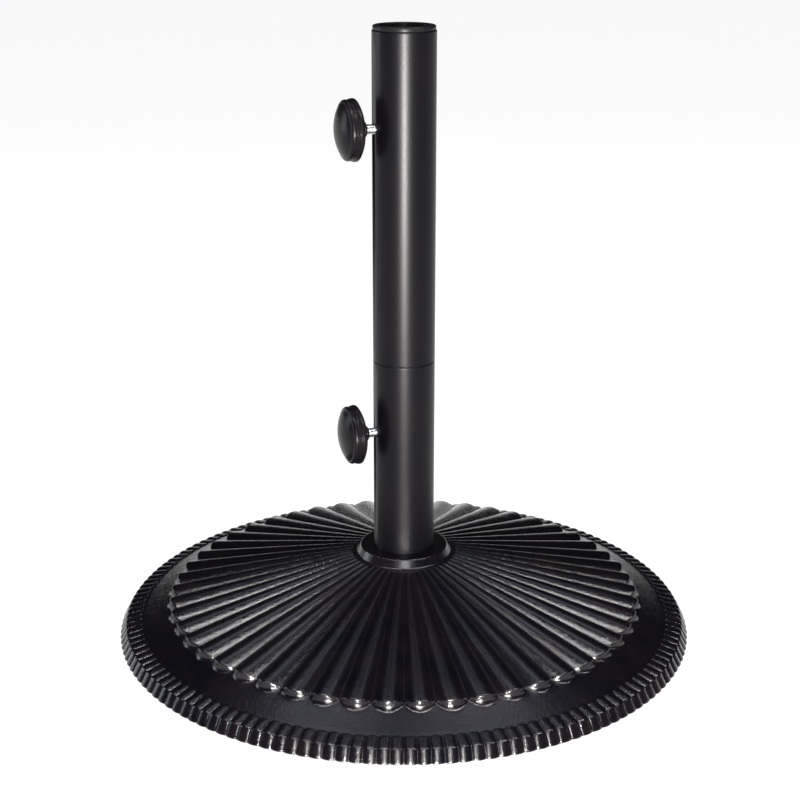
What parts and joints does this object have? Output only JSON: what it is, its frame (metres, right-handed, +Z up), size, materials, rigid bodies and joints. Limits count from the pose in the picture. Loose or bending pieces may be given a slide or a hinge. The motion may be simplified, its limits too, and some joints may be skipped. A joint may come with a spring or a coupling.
{
  "type": "parasol base",
  "caption": "Round fluted cast-iron parasol base with a beaded rim, a black steel stem in sections, a plastic top bush and screw clamp knobs.",
  "frame": {"origin": "on the floor, at the centre of the round base, on the stem's axis", "axes": "+Z up along the stem; the clamp knobs point to -X and a little to -Y, and -Y is the front"},
  "size_m": [0.487, 0.487, 0.504],
  "materials": {
    "cast_iron_enamel": "gloss enamel over sand-cast iron",
    "stem_coat": "satin black powder coat",
    "knob_plastic": "satin black moulded plastic",
    "bushing_plastic": "gloss black moulded plastic",
    "seat_plastic": "black moulded plastic",
    "zinc_steel": "bright zinc plate",
    "plain_steel": "plain mill steel, lightly oiled",
    "pad_nylon": "natural nylon",
    "pad_rubber": "matt black rubber"
  },
  "bodies": {
    "base": {"base_casting": "cast_iron_enamel", "floor_pads": "pad_rubber", "base_bolt": "zinc_steel", "spring_washer": "zinc_steel", "flat_washer": "zinc_steel", "stem_foot_plate": "plain_steel", "foot_weld_nut": "plain_steel", "stem_tube_lower": "stem_coat", "joint_sleeve": "plain_steel", "pole_seat": "seat_plastic", "lower_clamp_nut": "plain_steel"},
    "upper_stem": {"stem_tube_upper": "stem_coat", "top_bushing": "bushing_plastic", "upper_clamp_nut": "plain_steel"},
    "lower_pad": {"lower_pressure_pad": "pad_nylon"},
    "lower_knob": {"lower_clamp_screw": "zinc_steel", "lower_knob_grip": "knob_plastic", "lower_knob_cap": "knob_plastic"},
    "upper_pad": {"upper_pressure_pad": "pad_nylon"},
    "upper_knob": {"upper_clamp_screw": "zinc_steel", "upper_knob_grip": "knob_plastic", "upper_knob_cap": "knob_plastic"}
  },
  "joints": [
    {"name": "upper_stem_lift", "type": "slide", "parent": "base", "child": "upper_stem", "axis": [0, 0, 1], "range_m": [0, 0.04]},
    {"name": "lower_screw_feed", "type": "slide", "parent": "base", "child": "lower_pad", "axis": [-0.9397, -0.342, 0], "range_m": [-0.0055, 0.0025]},
    {"name": "lower_knob_turn", "type": "hinge", "parent": "lower_pad", "child": "lower_knob", "pos_m": [-0.04229, -0.01539, 0.174], "axis": [-0.9397, -0.342, 0], "range_deg": [-1580, 718]},
    {"name": "upper_screw_feed", "type": "slide", "parent": "upper_stem", "child": "upper_pad", "axis": [-0.9397, -0.342, 0], "range_m": [-0.0055, 0.0025]},
    {"name": "upper_knob_turn", "type": "hinge", "parent": "upper_pad", "child": "upper_knob", "pos_m": [-0.04229, -0.01539, 0.425], "axis": [-0.9397, -0.342, 0], "range_deg": [-1580, 718]}
  ],
  "couplings": [
    {"joint": "lower_screw_feed", "follows": "lower_knob_turn", "m_per_rad": 0.00019894},
    {"joint": "upper_screw_feed", "follows": "upper_knob_turn", "m_per_rad": 0.00019894}
  ]
}
